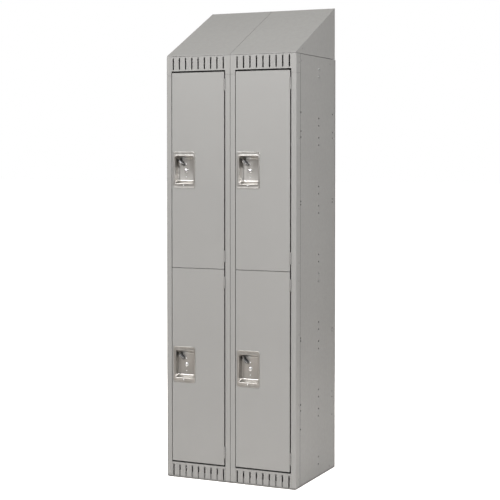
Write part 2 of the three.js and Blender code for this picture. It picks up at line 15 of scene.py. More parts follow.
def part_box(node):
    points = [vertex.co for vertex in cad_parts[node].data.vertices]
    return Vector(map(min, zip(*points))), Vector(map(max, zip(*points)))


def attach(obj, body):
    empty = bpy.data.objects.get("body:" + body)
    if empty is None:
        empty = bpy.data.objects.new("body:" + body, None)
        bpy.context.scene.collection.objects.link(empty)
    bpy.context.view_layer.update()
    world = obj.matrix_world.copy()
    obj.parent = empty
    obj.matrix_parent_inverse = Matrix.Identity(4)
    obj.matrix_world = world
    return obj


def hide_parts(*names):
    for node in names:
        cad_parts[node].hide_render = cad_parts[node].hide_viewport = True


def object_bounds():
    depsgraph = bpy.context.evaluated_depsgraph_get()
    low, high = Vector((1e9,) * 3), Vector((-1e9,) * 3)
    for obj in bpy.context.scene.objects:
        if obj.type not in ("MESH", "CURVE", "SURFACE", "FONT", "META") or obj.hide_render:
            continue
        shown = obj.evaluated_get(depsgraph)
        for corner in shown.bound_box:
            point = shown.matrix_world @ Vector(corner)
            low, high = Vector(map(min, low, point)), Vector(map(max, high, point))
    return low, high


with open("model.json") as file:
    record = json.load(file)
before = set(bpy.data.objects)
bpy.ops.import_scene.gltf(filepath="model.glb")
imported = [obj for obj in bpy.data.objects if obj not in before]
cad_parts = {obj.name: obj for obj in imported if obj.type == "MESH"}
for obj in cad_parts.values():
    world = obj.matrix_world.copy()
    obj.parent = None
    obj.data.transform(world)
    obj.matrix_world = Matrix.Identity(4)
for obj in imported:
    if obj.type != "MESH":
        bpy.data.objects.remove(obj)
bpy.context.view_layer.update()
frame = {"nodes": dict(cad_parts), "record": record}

NODES = frame["nodes"]
SIDES = ("left", "right")
KEYS = [f"{level}_{side}" for side in SIDES for level in ("upper", "lower")]
ENDS = ("top", "bottom")


def mm(value):
    return value / 1000.0


# ---- Camera, floor and light ----

CAMERA = {"place": (2.4242, -5.355, 1.400), "yaw": 24.45, "pitch": -1.73}  # metres and degrees
FOCAL_IN_WIDTHS = 2.665  # focal length over the picture's width
SENSOR = 36.0
RISE = -0.1074  # vertical shift that keeps the uprights parallel


def add_camera():
    data = bpy.data.cameras.new("camera")
    data.sensor_width = SENSOR
    data.lens = FOCAL_IN_WIDTHS * SENSOR
    data.shift_y = RISE
    camera = bpy.data.objects.new("camera", data)
    camera.location = CAMERA["place"]
    camera.rotation_euler = (math.radians(90 + CAMERA["pitch"]), 0, math.radians(CAMERA["yaw"]))
    bpy.context.scene.collection.objects.link(camera)
    bpy.context.scene.camera = camera


# Soft lights: (name, place, target, size, watts, colour), in metres.
LIGHTS = [
    ("key", (-2.4, -5.2, 4.2), (0, 0, 1.2), (3.0, 2.2), 297, (1.0, 1.0, 1.0)),
    ("fill", (4.4, -2.4, 3.3), (0, 0, 0.9), (2.2, 1.8), 282, (1.0, 1.0, 1.0)),
    ("top", (0.1, -1.2, 3.8), (0, 0, 1.9), (1.4, 0.5), 10, (1.0, 0.96, 0.88)),
    ("rear", (-2.6, 4.8, 2.6), (0, 0, 1.0), (2.4, 2.4), 110, (1.0, 1.0, 1.0)),
]


def add_softbox(name, place, target, size, watts, colour):
    data = bpy.data.lights.new(name, "AREA")
    data.shape = "RECTANGLE"
    data.size, data.size_y = size
    data.energy = watts
    data.color = colour
    light = bpy.data.objects.new(name, data)
    light.location = place
    aim = Vector(target) - Vector(place)
    light.rotation_euler = aim.to_track_quat("-Z", "Y").to_euler()
    bpy.context.scene.collection.objects.link(light)


# The studio around the cabinet, by the height of the direction looked in: (height, colour).
# It is dim level with the eye, so that narrow gaps stay dark.
STUDIO = [
    (-1.0, (0.30, 0.26, 0.22)),
    (-0.10, (0.10, 0.095, 0.09)),
    (0.20, (0.09, 0.09, 0.09)),
    (0.45, (0.165, 0.163, 0.16)),
    (1.0, (0.17, 0.165, 0.155)),
]
# Lit patches of the studio: (direction, inner and outer half angle in degrees, light).
PATCHES = [
    ((-0.42, -0.90, 0.05), (10, 34), (0.24, 0.24, 0.235)),
    ((-0.42, 0.06, 0.90), (8, 26), (0.8, 0.78, 0.75)),
    ((-0.46, -0.32, 0.83), (6, 18), (1.6, 1.53, 1.45)),
]


def add_world():
    """The dim studio that lights the cabinet and shows in it. The camera itself sees white."""
    world = bpy.data.worlds.new("studio")
    bpy.context.scene.world = world
    world.use_nodes = True
    nodes, links = world.node_tree.nodes, world.node_tree.links
    nodes.clear()
    where = nodes.new("ShaderNodeTexCoord")
    split = nodes.new("ShaderNodeSeparateXYZ")
    height = nodes.new("ShaderNodeMapRange")
    height.inputs["From Min"].default_value = -1.0
    ramp = nodes.new("ShaderNodeValToRGB")
    stops = ramp.color_ramp.elements
    while len(stops) < len(STUDIO):
        stops.new(1.0)
    for stop, (level, colour) in zip(stops, STUDIO):
        stop.position = (level + 1) / 2
        stop.color = (*colour, 1)
    links.new(where.outputs["Generated"], split.inputs[0])
    links.new(split.outputs["Z"], height.inputs["Value"])
    links.new(height.outputs["Result"], ramp.inputs["Fac"])
    light = ramp.outputs["Color"]
    for direction, (inner, outer), colour in PATCHES:
        towards = nodes.new("ShaderNodeVectorMath")
        towards.operation = "DOT_PRODUCT"
        towards.inputs[1].default_value = Vector(direction).normalized()
        spot = nodes.new("ShaderNodeMapRange")
        spot.interpolation_type = "SMOOTHSTEP"
        spot.inputs["From Min"].default_value = math.cos(math.radians(outer))
        spot.inputs["From Max"].default_value = math.cos(math.radians(inner))
        added = nodes.new("ShaderNodeMix")
        added.data_type = "RGBA"
        added.blend_type = "ADD"
        added.inputs["B"].default_value = (*colour, 1)
        links.new(where.outputs["Generated"], towards.inputs[0])
        links.new(towards.outputs["Value"], spot.inputs["Value"])
        links.new(spot.outputs["Result"], added.inputs["Factor"])
        links.new(light, added.inputs["A"])
        light = added.outputs["Result"]
    studio = nodes.new("ShaderNodeBackground")
    links.new(light, studio.inputs["Color"])
    white = nodes.new("ShaderNodeBackground")
    white.inputs["Color"].default_value = (1, 1, 1, 1)
    path = nodes.new("ShaderNodeLightPath")
    mix = nodes.new("ShaderNodeMixShader")
    out = nodes.new("ShaderNodeOutputWorld")
    links.new(path.outputs["Is Camera Ray"], mix.inputs["Fac"])
    links.new(studio.outputs[0], mix.inputs[1])
    links.new(white.outputs[0], mix.inputs[2])
    links.new(mix.outputs[0], out.inputs["Surface"])


FLOOR_HALF = 60.0  # metres
FLOOR_INSET = 3  # how far the shaded part stays inside the cabinet's outline
FLOOR_DROP = 0.5  # keeps the floor clear of the cabinet's foot
PAPER_REACH = (2.0, 3.0)  # where the pale floor starts and ends fading to the dim studio, in metres
PAPER_TONE = (0.74, 0.705, 0.67, 1)
DIM_TONE = (0.20, 0.175, 0.15, 1)


def add_floor():
    """A pale matt floor that looks white, shaded where the cabinet stands on it."""
    low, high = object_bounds()
    inset = mm(FLOOR_INSET)
    inner = [(low.x + inset, low.y + inset), (high.x - inset, low.y + inset)]
    inner += [(high.x - inset, high.y - inset), (low.x + inset, high.y - inset)]
    outer = [(FLOOR_HALF * x, FLOOR_HALF * y) for x, y in ((-1, -1), (1, -1), (1, 1), (-1, 1))]
    faces = [(i, (i + 1) % 4, 4 + (i + 1) % 4, 4 + i) for i in range(4)] + [(4, 5, 6, 7)]
    mesh = bpy.data.meshes.new("floor")
    mesh.from_pydata([(x, y, 0) for x, y in outer + inner], [], faces)
    floor = bpy.data.objects.new("floor", mesh)
    floor.location.z = -mm(FLOOR_DROP)
    bpy.context.scene.collection.objects.link(floor)
    for name, glow in (("studio_floor", True), ("shaded_floor", False)):
        material = bpy.data.materials.new(name)
        material.use_nodes = True
        nodes, links = material.node_tree.nodes, material.node_tree.links
        shader = nodes["Principled BSDF"]
        shader.inputs["Roughness"].default_value = 0.9
        shader.inputs["Specular IOR Level"].default_value = 0.1
        where = nodes.new("ShaderNodeTexCoord")
        far = nodes.new("ShaderNodeVectorMath")
        far.operation = "LENGTH"
        links.new(where.outputs["Object"], far.inputs[0])
        fade = nodes.new("ShaderNodeMapRange")
        fade.inputs["From Min"].default_value, fade.inputs["From Max"].default_value = PAPER_REACH
        links.new(far.outputs["Value"], fade.inputs["Value"])
        tone = nodes.new("ShaderNodeMix")
        tone.data_type = "RGBA"
        tone.inputs["A"].default_value = PAPER_TONE
        tone.inputs["B"].default_value = DIM_TONE
        links.new(fade.outputs["Result"], tone.inputs["Factor"])
        links.new(tone.outputs["Result"], shader.inputs["Base Color"])
        if glow:
            shader.inputs["Emission Color"].default_value = (1, 1, 1, 1)
            path = nodes.new("ShaderNodeLightPath")
            links.new(path.outputs["Is Camera Ray"], shader.inputs["Emission Strength"])
        mesh.materials.append(material)
    mesh.polygons[4].material_index = 1


# ---- Materials ----

# Painted shade: shares of open sky over which a surface goes from its darkest painted tone to its
# own.
DEEP_GAP = (0.3, 0.8)
LOW_STEP = (0.9, 0.985)
# Painted shade: how far, in mm, it looks for surfaces that close in a point.
SHADE_REACH = 12
BEND = (0.75, 0.995)  # cosines of the turn from a sharp edge, where the highlight is painted, to flat sheet


class Shader:
    """A material with a Principled shader, and short ways to add texture nodes to it."""

    def __init__(self, name, **sockets):
        self.material = bpy.data.materials.new(name)
        self.material.use_nodes = True
        self.nodes = self.material.node_tree.nodes
        self.links = self.material.node_tree.links
        self.shader = self.nodes["Principled BSDF"]
        for socket, value in sockets.items():
            self.shader.inputs[socket.replace("_", " ")].default_value = value
        self.where = self.nodes.new("ShaderNodeTexCoord").outputs["Object"]
        self.height = None

    def noise(self, scale, detail=2.0, stretch=(1, 1, 1), roughness=0.5):
        mapping = self.nodes.new("ShaderNodeMapping")
        mapping.inputs["Scale"].default_value = stretch
        self.links.new(self.where, mapping.inputs["Vector"])
        noise = self.nodes.new("ShaderNodeTexNoise")
        noise.inputs["Scale"].default_value = scale
        noise.inputs["Detail"].default_value = detail
        noise.inputs["Roughness"].default_value = roughness
        self.links.new(mapping.outputs["Vector"], noise.inputs["Vector"])
        return noise.outputs["Fac"]

    def cells(self, scale):
        voronoi = self.nodes.new("ShaderNodeTexVoronoi")
        voronoi.inputs["Scale"].default_value = scale
        self.links.new(self.where, voronoi.inputs["Vector"])
        return voronoi.outputs["Color"]

    def remap(self, source, low, high, start=0.3, stop=0.7):
        spread = self.nodes.new("ShaderNodeMapRange")
        spread.inputs["From Min"].default_value = start
        spread.inputs["From Max"].default_value = stop
        spread.inputs["To Min"].default_value = low
        spread.inputs["To Max"].default_value = high
        self.links.new(source, spread.inputs["Value"])
        return spread.outputs["Result"]

    def blend(self, source, colours, start=0.3, stop=0.7):
        ramp = self.nodes.new("ShaderNodeValToRGB")
        first, last = ramp.color_ramp.elements
        first.position, last.position = start, stop
        first.color, last.color = (*colours[0], 1), (*colours[1], 1)
        self.links.new(source, ramp.inputs["Fac"])
        return ramp.outputs["Color"]

    def paint_edge_highlight(self, colour, edge_colour, reach, most):
        """Paints a highlight along edges: mixes in the edge's colour, `most` of it on a sharp edge,
        within `reach` mm of it.
        """
        around = self.nodes.new("ShaderNodeBevel")
        around.samples = 4
        around.inputs["Radius"].default_value = mm(reach)
        own = self.nodes.new("ShaderNodeNewGeometry")
        turn = self.nodes.new("ShaderNodeVectorMath")
        turn.operation = "DOT_PRODUCT"
        self.links.new(around.outputs["Normal"], turn.inputs[0])
        self.links.new(own.outputs["Normal"], turn.inputs[1])
        edge = self.remap(turn.outputs["Value"], most, 0.0, *BEND)
        mix = self.nodes.new("ShaderNodeMix")
        mix.data_type = "RGBA"
        self.links.new(edge, mix.inputs["Factor"])
        self.links.new(colour, mix.inputs["A"])
        mix.inputs["B"].default_value = (*edge_colour, 1)
        return mix.outputs["Result"]

    def paint_shade(self, colour, in_gap, beside_step, own=False):
        """Paints shade: multiplies the colour by `in_gap` deep in a gap and by `beside_step` beside a
        low step.

        With `own`, only the piece's own corners count.
        """
        around = self.nodes.new("ShaderNodeAmbientOcclusion")
        around.samples = 6
        around.inputs["Distance"].default_value = mm(SHADE_REACH)
        around.only_local = own
        for darkest, shares in ((in_gap, DEEP_GAP), (beside_step, LOW_STEP)):
            mix = self.nodes.new("ShaderNodeMix")
            mix.data_type = "RGBA"
            mix.blend_type = "MULTIPLY"
            mix.inputs["Factor"].default_value = 1.0
            self.links.new(colour, mix.inputs["A"])
            tones = ((darkest,) * 3, (1.0,) * 3)
            self.links.new(self.blend(around.outputs["AO"], tones, *shares), mix.inputs["B"])
            colour = mix.outputs["Result"]
        return colour

    def drive(self, socket, source):
        self.links.new(source, self.shader.inputs[socket])

    def bump(self, source, distance, strength=1.0):
        """Bumps stack: each one adds to those before it."""
        bump = self.nodes.new("ShaderNodeBump")
        bump.inputs["Distance"].default_value = distance
        bump.inputs["Strength"].default_value = strength
        self.links.new(source, bump.inputs["Height"])
        if self.height is not None:
            self.links.new(self.height, bump.inputs["Normal"])
        self.height = bump.outputs["Normal"]
        self.links.new(self.height, self.shader.inputs["Normal"])


BODY_GREY = 0.285
ENAMEL_TINT = (1.0, 0.992, 0.972)
MOTTLE = 0.02  # the grey varies by this share
# Painted highlight on the enamel's sharp edges: how much lighter it is, how far it reaches in mm, and
# how much of it at most.
HIGHLIGHT_GAIN = 1.35
EDGE_HIGHLIGHT = {"reach": 1.2, "most": 0.3}
# Painted shade: how dark a colour gets deep in a gap and beside a low step.
ENAMEL_SHADE = {"in_gap": 0.3, "beside_step": 0.65}
METAL_SHADE = {"in_gap": 0.3, "beside_step": 0.85}
EVEN = (1, 1, 1)
ALONG_Z = (1, 1, 0.12)


def enamel(name, grey, swings=False):
    """Baked enamel on sheet steel: orange peel, faint mottling, and sheet that isn't quite flat, with
    a painted highlight on its sharp edges and painted shade in its gaps.
    """
    made = Shader(name, Metallic=0.0)
    tones = []
    for level in (grey * (1 - MOTTLE), grey * (1 + MOTTLE)):
        tones.append(tuple(level * channel for channel in ENAMEL_TINT))
    colour = made.blend(made.noise(2.3, 4.0), tones)
    # A painted highlight: a lighter tone mixed in along the sharp edges.
    lighter = tuple(channel * HIGHLIGHT_GAIN for channel in tones[1])
    colour = made.paint_edge_highlight(colour, lighter, **EDGE_HIGHLIGHT)
    # Painted shade darkens the colour in gaps and beside low steps; on a door only its own corners
    # count.
    made.drive("Base Color", made.paint_shade(colour, **ENAMEL_SHADE, own=swings))
    made.drive("Roughness", made.remap(made.noise(60.0, 5.0), 0.36, 0.48))
    made.bump(made.noise(2.2, 1.0), mm(1), 0.25)
    made.bump(made.noise(700.0, 2.0), mm(0.012), 0.4)
    return made.material


def metal(name, shine, scale, grain, depth):
    """Bare metal of no colour yet: its gloss varies, and it has a fine grain."""
    made = Shader(name, Metallic=1.0)
    made.drive("Roughness", made.remap(made.noise(scale * 2.2, 5.0, grain), *shine))
    made.bump(made.noise(scale * 12, 3.0, grain), mm(depth), 0.3)
    return made


def polished(name, tones, shine, scale, grain, depth):
    """Stainless or chrome: its tone varies softly along the grain, and painted shade darkens it in
    gaps and hollows.
    """
    made = metal(name, shine, scale, grain, depth)
    colour = made.blend(made.noise(scale, 4.0, grain), tones)
    # Painted shade in gaps and beside low steps.
    made.drive("Base Color", made.paint_shade(colour, **METAL_SHADE))
    return made.material


def zinc(name):
    """Zinc plate: a faint spangle over a dull shine, and painted shade darkens it in gaps and
    hollows.
    """
    made = metal(name, (0.34, 0.5), 60.0, EVEN, 0.02)
    colour = made.blend(made.cells(220.0), ((0.42, 0.43, 0.44), (0.56, 0.57, 0.58)))
    # Painted shade in gaps and beside low steps.
    made.drive("Base Color", made.paint_shade(colour, **METAL_SHADE))
    return made.material


def rubber(name):
    """Black rubber, faintly mottled and pitted."""
    made = Shader(name, Metallic=0.0)
    made.drive("Base Color", made.blend(made.noise(150.0, 3.0), ((0.02,) * 3, (0.035,) * 3)))
    made.drive("Roughness", made.remap(made.noise(260.0, 4.0), 0.6, 0.8))
    made.bump(made.noise(900.0, 2.0), mm(0.04), 0.5)
    return made.material


STAINLESS_TONES = ((0.46, 0.445, 0.425), (0.54, 0.525, 0.505))
CHROME_TONES = ((0.78, 0.78, 0.79), (0.86, 0.86, 0.87))
MATERIALS = {
    "body_enamel": enamel("body_enamel", BODY_GREY),
    "door_enamel": enamel("door_enamel", BODY_GREY * 1.01, swings=True),
    "hinge_enamel": enamel("hinge_enamel", BODY_GREY * 1.02),
    "stainless_cup": polished("stainless_cup", STAINLESS_TONES, (0.31, 0.39), 60.0, ALONG_Z, 0.004),
    "zinc_latch": zinc("zinc_latch"),
    "chrome_plug": polished("chrome_plug", CHROME_TONES, (0.28, 0.36), 140.0, EVEN, 0.005),
    "bumper_rubber": rubber("bumper_rubber"),
}

# ---- Making pieces ----


def piece(name, mesh, body, material, smooth_below=40):
    """A visible piece that rides on a body. It shades smooth except at turns over `smooth_below`."""
    made = bpy.data.objects.new(name, mesh)
    bpy.context.scene.collection.objects.link(made)
    mesh.materials.clear()
    mesh.materials.append(MATERIALS[material])
    mesh.polygons.foreach_set("use_smooth", [True] * len(mesh.polygons))
    mesh.set_sharp_from_angle(angle=math.radians(smooth_below))
    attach(made, body)
    return made


def finished(name, shape, matrix=None):
    """A bmesh as a mesh, moved by a matrix, its faces turned outwards."""
    if matrix is not None:
        bmesh.ops.transform(shape, matrix=matrix, verts=shape.verts)
    bmesh.ops.recalc_face_normals(shape, faces=shape.faces)
    mesh = bpy.data.meshes.new(name)
    shape.to_mesh(mesh)
    shape.free()
    return mesh


def merged(name, meshes):
    """Several meshes as one. The meshes go."""
    shape = bmesh.new()
    for mesh in meshes:
        shape.from_mesh(mesh)
        bpy.data.meshes.remove(mesh)
    made = bpy.data.meshes.new(name)
    shape.to_mesh(made)
    shape.free()
    return made


def moved(mesh, offset):
    copy = mesh.copy()
    copy.transform(Matrix.Translation(offset))
    return copy


def lathe(name, profile, place, facing, segments=32):
    """A turned piece. Its profile is (radius, height) pairs in mm, its height along `facing`."""
    shape = bmesh.new()
    rings = []
    for radius, height in profile:
        if radius == 0:
            rings.append([shape.verts.new((0, 0, mm(height)))])
            continue
        turns = [2 * math.pi * i / segments for i in range(segments)]
        around = [(mm(radius) * math.cos(t), mm(radius) * math.sin(t), mm(height)) for t in turns]
        rings.append([shape.verts.new(point) for point in around])
    for low, high in zip(rings, rings[1:]):
        for i in range(segments):
            after = (i + 1) % segments
            corners = [low[i % len(low)], low[after % len(low)]]
            corners += [high[after % len(high)], high[i % len(high)]]
            shape.faces.new(list(dict.fromkeys(corners)))
    turn = Vector(facing).to_track_quat("Z", "Y").to_matrix().to_4x4()
    return finished(name, shape, Matrix.Translation(place) @ turn)


def dome(radius, height, steps=5):
    """The profile of a domed head with a low upright rim on a flat back."""
    rim = 0.25
    profile = [(0, 0), (radius, 0)]
    for step in range(steps):
        angle = math.radians(90 * step / steps)
        profile.append((radius * math.cos(angle), rim + (height - rim) * math.sin(angle)))
    return profile + [(0, height)]


def rod(radius, low, high):
    """The profile of a plain round rod."""
    return [(0, low), (radius, low), (radius, high), (0, high)]


def ball(radius):
    """The profile of a ball."""
    profile = [(0, -radius)]
    for degrees in range(-75, 76, 15):
        angle = math.radians(degrees)
        profile.append((radius * math.cos(angle), radius * math.sin(angle)))
    return profile + [(0, radius)]


def loft(rings, capped=(0, -1)):
    """A bmesh skinned over rings of points, with a face on each ring in `capped`."""
    shape = bmesh.new()
    loops = [[shape.verts.new(point) for point in ring] for ring in rings]
    for first, second in zip(loops, loops[1:]):
        for i in range(len(first)):
            after = (i + 1) % len(first)
            shape.faces.new((first[i], first[after], second[after], second[i]))
    for end in capped:
        shape.faces.new(loops[end])
    return shape


def plate(name, outline, thickness, matrix, holes=(), soft=0.25):
    """A flat plate with softened edges. Outlines are in mm in the plate's own x and y."""
    curve = bpy.data.curves.new(name, "CURVE")
    curve.dimensions = "2D"
    curve.fill_mode = "BOTH"
    curve.extrude = mm(thickness / 2 - soft)
    curve.bevel_depth = mm(soft)
    curve.bevel_resolution = 1
    curve.offset = -mm(soft)
    for ring in (outline, *holes):
        spline = curve.splines.new("POLY")
        spline.points.add(len(ring) - 1)
        for point, (x, y) in zip(spline.points, ring):
            point.co = (mm(x), mm(y), 0, 1)
        spline.use_cyclic_u = True
    made = bpy.data.objects.new(name, curve)
    mesh = bpy.data.meshes.new_from_object(made)
    bpy.data.objects.remove(made)
    bpy.data.curves.remove(curve)
    shape = bmesh.new()
    shape.from_mesh(mesh)
    bpy.data.meshes.remove(mesh)
    bmesh.ops.remove_doubles(shape, verts=shape.verts, dist=mm(0.0001))
    return finished(name, shape, matrix)


def disc(radius, x=0, y=0, sides=24):
    """A circle's outline."""
    turns = [2 * math.pi * i / sides for i in range(sides)]
    return [(x + radius * math.cos(t), y + radius * math.sin(t)) for t in turns]


def rounded(width, height, corner, x=0.0, y=0.0, steps=6):
    """A rectangle with round corners, anticlockwise from its right-hand side."""
    points = []
    for quarter, (sx, sy) in enumerate(((1, 1), (-1, 1), (-1, -1), (1, -1))):
        for step in range(steps + 1):
            turn = math.radians(90 * (quarter + step / steps))
            px = x + sx * (width / 2 - corner) + corner * math.cos(turn)
            py = y + sy * (height / 2 - corner) + corner * math.sin(turn)
            points.append((px, py))
    return points


def block(low, high, soft=0.2):
    """A box with bevelled edges, between two corners in metres."""
    shape = bmesh.new()
    bmesh.ops.create_cube(shape, size=1.0)
    size = Vector(high) - Vector(low)
    centre = (Vector(high) + Vector(low)) / 2
    bmesh.ops.scale(shape, vec=size, verts=shape.verts)
    bmesh.ops.bevel(
        shape, geom=shape.edges[:], offset=mm(soft), segments=2, affect="EDGES", profile=0.5
    )
    return finished("block", shape, Matrix.Translation(centre))


def applied(made):
    """The object's mesh with its modifiers applied. The object goes."""
    bpy.context.view_layer.update()
    graph = bpy.context.evaluated_depsgraph_get()
    mesh = bpy.data.meshes.new_from_object(made.evaluated_get(graph))
    mesh.name = made.name
    bpy.data.objects.remove(made)
    return mesh


# ---- The cabinet's places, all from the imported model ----

FACE_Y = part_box("door_upper_left")[0].y  # front of the doors and of the frames
RIGHT = (1, 0, 0)
LEFT = (-1, 0, 0)
FORWARD = (0, -1, 0)
BACKWARD = (0, 1, 0)
UP = (0, 0, 1)


def middle(node):
    low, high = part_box(node)
    return (low + high) / 2


def end_face(node, side):
    """x of a node's outer face at one end of the cabinet."""
    low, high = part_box(node)
    return high.x if side == "right" else low.x


# ---- Handle cups ----
# Millimetres from the cup's centre: x right, z up, y back from the door's face.

# Rounded rectangles: width, height, corner, x, z.
FLANGE = (105.0, 156.0, 9.0, 0.0, 0.0)
MOUTH = (90.0, 119.5, 8.0, 0.5, 1.0)
POCKET = (80.0, 98.0, 6.0, 0.5, 0.0)
# The flange's rolled edge: (inset from its outline, y).
FLANGE_ROLL = [(0, -0.95), (0.15, -1.2), (0.5, -1.45), (1.0, -1.55), (1.8, -1.55), (3.2, -1.35)]
CUP_FLOOR = 23.0
CUP_SHEET = 0.8
MOUTH_Y = -1.3
MOUTH_LIP = {"radius": 2.2, "y": -1.65, "outside": 1.6}  # the rolled rim; outside: past the mouth
WALL_INSET = 0.5
FLOOR_FILLET = 4.0
LOCK_X = -1.0
LOCK_Z = -3.0
LOCK_HOLE = 7
CAP_BRIM = [(0, 0), (9.0, 0), (9.2, 0.4), (8.9, 0.8), (8.5, 1.0)]
CAP_DOME = {"radius": 8.4, "foot": 0.9, "rise": 2.4}
CAP_STEM = 6.5
RIVET_STEP = 27.5  # from the cap to each guide rivet
GUIDE_RIVET = dome(3.4, 2.2)
FLANGE_RIVET = (-3.2, -1.2, -66.5)  # x, y, z
FLANGE_RIVET_HEAD = dome(3.6, 2.4)
LUG = {"x": -20.5, "z": 33.0, "half": 13.5, "gauge": 3.0}
LATCH_DROP = 3.0
LATCH_LIFT = 2.5
SLOT_CLEAR = 0.5
SLOT_FRONT = 14.0  # how far forward the lug's slot runs up the wall
EAR = {"gauge": 2.2, "reach": 18.0, "root": 0.3, "corner": 6.0, "eye": 4.5, "rim": 3.0}
DIAGONAL = math.sqrt(0.5)


def grown(shape, by):
    """A rounded rectangle grown by `by` on every side."""
    width, height, corner, x, z = shape
    return (width + 2 * by, height + 2 * by, max(corner + by, 0.6), x, z)


def between(first, last, share):
    return tuple(a + (b - a) * share for a, b in zip(first, last))


def cup_rings():
    """Rounded rectangles from the flange's outer edge over the mouth's rim to the pocket's floor."""
    rings = [(grown(FLANGE, -inset), y) for inset, y in FLANGE_ROLL]
    rings.append((between(grown(FLANGE, -6), grown(MOUTH, 6), 0.5), -1.25))
    rings += [(grown(MOUTH, 3.6), -1.4), (grown(MOUTH, 2.4), -1.6)]
    lip = MOUTH_LIP["radius"]
    for degrees in (0, 15, 30, 45, 60, 75):
        angle = math.radians(degrees)
        edge = grown(MOUTH, MOUTH_LIP["outside"] - lip * math.sin(angle))
        rings.append((edge, MOUTH_LIP["y"] + lip * (1 - math.cos(angle))))
    for y in (4.0, 9.0, 14.0):
        rings.append((grown(cup_wall(y), -WALL_INSET), y))
    for degrees in (0, 18, 36, 54, 72, 90):
        angle = math.radians(degrees)
        y = CUP_FLOOR - FLOOR_FILLET * (1 - math.sin(angle))
        inset = WALL_INSET + FLOOR_FILLET * (1 - math.cos(angle))
        rings.append((grown(cup_wall(y), -inset), y))
    return rings


def cup_wall(y):
    """The drawn wall's outline at a depth: it tapers from the mouth to the pocket."""
    return between(MOUTH, POCKET, (y - MOUTH_Y) / (CUP_FLOOR + 1 - MOUTH_Y))


def cup_shell():
    """The drawn cup as a sheet, with the lug's slot and the lock hole cut through its floor."""
    rings = []
    for outline, y in cup_rings():
        rings.append([(mm(px), mm(y), mm(pz)) for px, pz in rounded(*outline)])
    shape = loft(rings, capped=[-1])
    bmesh.ops.recalc_face_normals(shape, faces=shape.faces)
    if sum(face.normal.y * face.calc_area() for face in shape.faces) > 0:
        bmesh.ops.reverse_faces(shape, faces=shape.faces)
    mesh = bpy.data.meshes.new("cup_shell")
    shape.to_mesh(mesh)
    shape.free()
    made = bpy.data.objects.new("cup_shell", mesh)
    bpy.context.scene.collection.objects.link(made)
    sheet = made.modifiers.new("sheet", "SOLIDIFY")
    sheet.thickness = mm(CUP_SHEET)
    sheet.offset = -1.0
    sheet.use_even_offset = True
    lock_hole = disc(LOCK_HOLE, LOCK_X, LOCK_Z)
    cutters = [cutter("slot", lug_slot(), SLOT_FRONT), cutter("lock_hole", lock_hole, CUP_FLOOR - 3)]
    for tool in cutters:
        cut = made.modifiers.new(tool.name, "BOOLEAN")
        cut.operation = "DIFFERENCE"
        cut.object = tool
        cut.solver = "EXACT"
    mesh = applied(made)
    for tool in cutters:
        bpy.data.objects.remove(tool)
    return mesh


def lug_slot():
    """The band of the floor that the lug sweeps as the latch drops and lifts."""
    left = -(LUG["half"] + SLOT_CLEAR) * DIAGONAL
    right = (LUG["half"] + LUG["gauge"] + SLOT_CLEAR) * DIAGONAL
    low = -SLOT_CLEAR / DIAGONAL - LATCH_DROP
    high = (LUG["gauge"] + SLOT_CLEAR) / DIAGONAL + LATCH_LIFT
    corners = [(left, low - left), (right, low - right), (right, high - right), (left, high - left)]
    return [(LUG["x"] + x, LUG["z"] + z) for x, z in corners]


def cutter(name, outline, front):
    """A prism from a depth in front of the cup's floor to behind it."""
    shape = loft([[(mm(x), mm(y), mm(z)) for x, z in outline] for y in (front, CUP_FLOOR + 4)])
    made = bpy.data.objects.new(name, finished(name, shape))
    bpy.context.scene.collection.objects.link(made)
    return made


def ear():
    """The cup's fixed plate beside the lug. A padlock passes through both eyes."""
    half = LUG["half"]
    front = CUP_FLOOR - EAR["reach"]
    corner = EAR["corner"]
    outline = [(-half, CUP_FLOOR + EAR["root"]), (half, CUP_FLOOR + EAR["root"])]
    for side in (1, -1):
        for degrees in range(0, 91, 15)[::side]:
            angle = math.radians(degrees)
            x = half - corner + corner * math.cos(angle)
            outline.append((side * x, front + corner - corner * math.sin(angle)))
    latched = LATCH_DROP * DIAGONAL
    eye = disc(EAR["eye"], latched, front + EAR["rim"] + EAR["eye"])
    turn = Matrix(
        ((DIAGONAL, 0, DIAGONAL, 0), (0, 1, 0, 0), (-DIAGONAL, 0, DIAGONAL, 0), (0, 0, 0, 1))
    )
    lift = -latched - SLOT_CLEAR - EAR["gauge"] / 2
    place = Matrix.Translation((mm(LUG["x"]), 0, mm(LUG["z"])))
    up = Matrix.Translation((0, 0, mm(lift)))
    return plate("ear", outline, EAR["gauge"], place @ turn @ up, [eye])


def cap_profile():
    """The lock cap: a thin brim and a low dome."""
    profile = list(CAP_BRIM)
    for degrees in (5, 15, 25, 40, 55, 70, 82):
        angle = math.radians(degrees)
        height = CAP_DOME["foot"] + CAP_DOME["rise"] * math.sin(angle)
        profile.append((CAP_DOME["radius"] * math.cos(angle), height))
    return profile + [(0, CAP_DOME["foot"] + CAP_DOME["rise"])]


